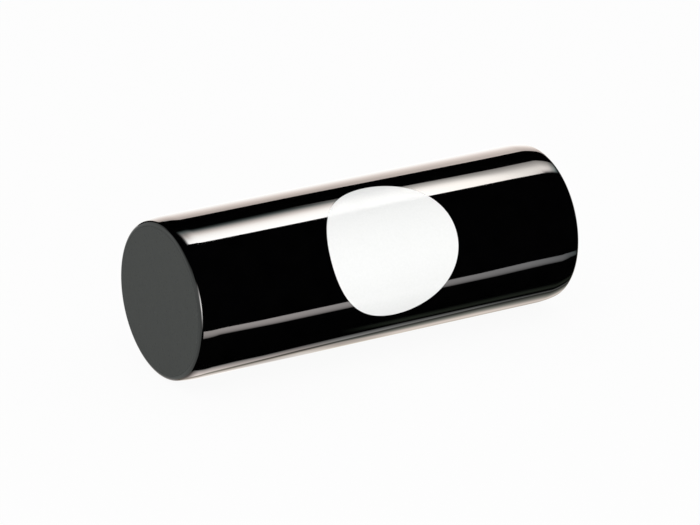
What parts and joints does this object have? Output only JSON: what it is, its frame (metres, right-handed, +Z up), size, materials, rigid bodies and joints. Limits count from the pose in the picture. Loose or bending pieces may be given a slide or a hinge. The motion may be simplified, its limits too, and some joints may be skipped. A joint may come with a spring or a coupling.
{
  "type": "percussion shaker",
  "caption": "Closed cylindrical tube shaker, gloss black with flush dark grey end plugs and a plain round white label, holding loose steel shot that slides from end to end.",
  "frame": {"origin": "on the surface that the shaker lies on, under the middle of its length", "axes": "+X along the tube from the left cap to the right cap, +Z up; the label looks towards -Y and up"},
  "size_m": [0.127, 0.0471, 0.0468],
  "materials": {
    "black_lacquer": "high-gloss black lacquer on a drawn aluminium tube",
    "grey_plastic": "satin dark grey moulded plastic",
    "white_label": "satin white self-adhesive vinyl",
    "steel_shot": "bright steel balls"
  },
  "bodies": {
    "shell": {"body_tube": "black_lacquer", "left_end_cap": "grey_plastic", "right_end_cap": "grey_plastic", "round_label": "white_label"},
    "shot_lane_a": {"shot_a1": "steel_shot", "shot_a2": "steel_shot", "shot_a3": "steel_shot", "shot_a4": "steel_shot", "shot_a5": "steel_shot", "shot_a6": "steel_shot", "shot_a7": "steel_shot", "shot_a8": "steel_shot"},
    "shot_lane_b": {"shot_b1": "steel_shot", "shot_b2": "steel_shot", "shot_b3": "steel_shot", "shot_b4": "steel_shot", "shot_b5": "steel_shot", "shot_b6": "steel_shot", "shot_b7": "steel_shot", "shot_b8": "steel_shot"},
    "shot_lane_c": {"shot_c1": "steel_shot", "shot_c2": "steel_shot", "shot_c3": "steel_shot", "shot_c4": "steel_shot", "shot_c5": "steel_shot", "shot_c6": "steel_shot", "shot_c7": "steel_shot", "shot_c8": "steel_shot"},
    "shot_lane_d": {"shot_d1": "steel_shot", "shot_d2": "steel_shot", "shot_d3": "steel_shot", "shot_d4": "steel_shot", "shot_d5": "steel_shot", "shot_d6": "steel_shot", "shot_d7": "steel_shot", "shot_d8": "steel_shot"},
    "shot_lane_e": {"shot_e1": "steel_shot", "shot_e2": "steel_shot", "shot_e3": "steel_shot", "shot_e4": "steel_shot", "shot_e5": "steel_shot", "shot_e6": "steel_shot", "shot_e7": "steel_shot", "shot_e8": "steel_shot"}
  },
  "joints": [
    {"name": "shot_lane_a_slide", "type": "slide", "parent": "shell", "child": "shot_lane_a", "axis": [1, 0, 0], "range_m": [-0.0324, 0.0324]},
    {"name": "shot_lane_b_slide", "type": "slide", "parent": "shell", "child": "shot_lane_b", "axis": [1, 0, 0], "range_m": [-0.0324, 0.0324]},
    {"name": "shot_lane_c_slide", "type": "slide", "parent": "shell", "child": "shot_lane_c", "axis": [1, 0, 0], "range_m": [-0.0324, 0.0324]},
    {"name": "shot_lane_d_slide", "type": "slide", "parent": "shell", "child": "shot_lane_d", "axis": [1, 0, 0], "range_m": [-0.0324, 0.0324]},
    {"name": "shot_lane_e_slide", "type": "slide", "parent": "shell", "child": "shot_lane_e", "axis": [1, 0, 0], "range_m": [-0.0324, 0.0324]}
  ]
}
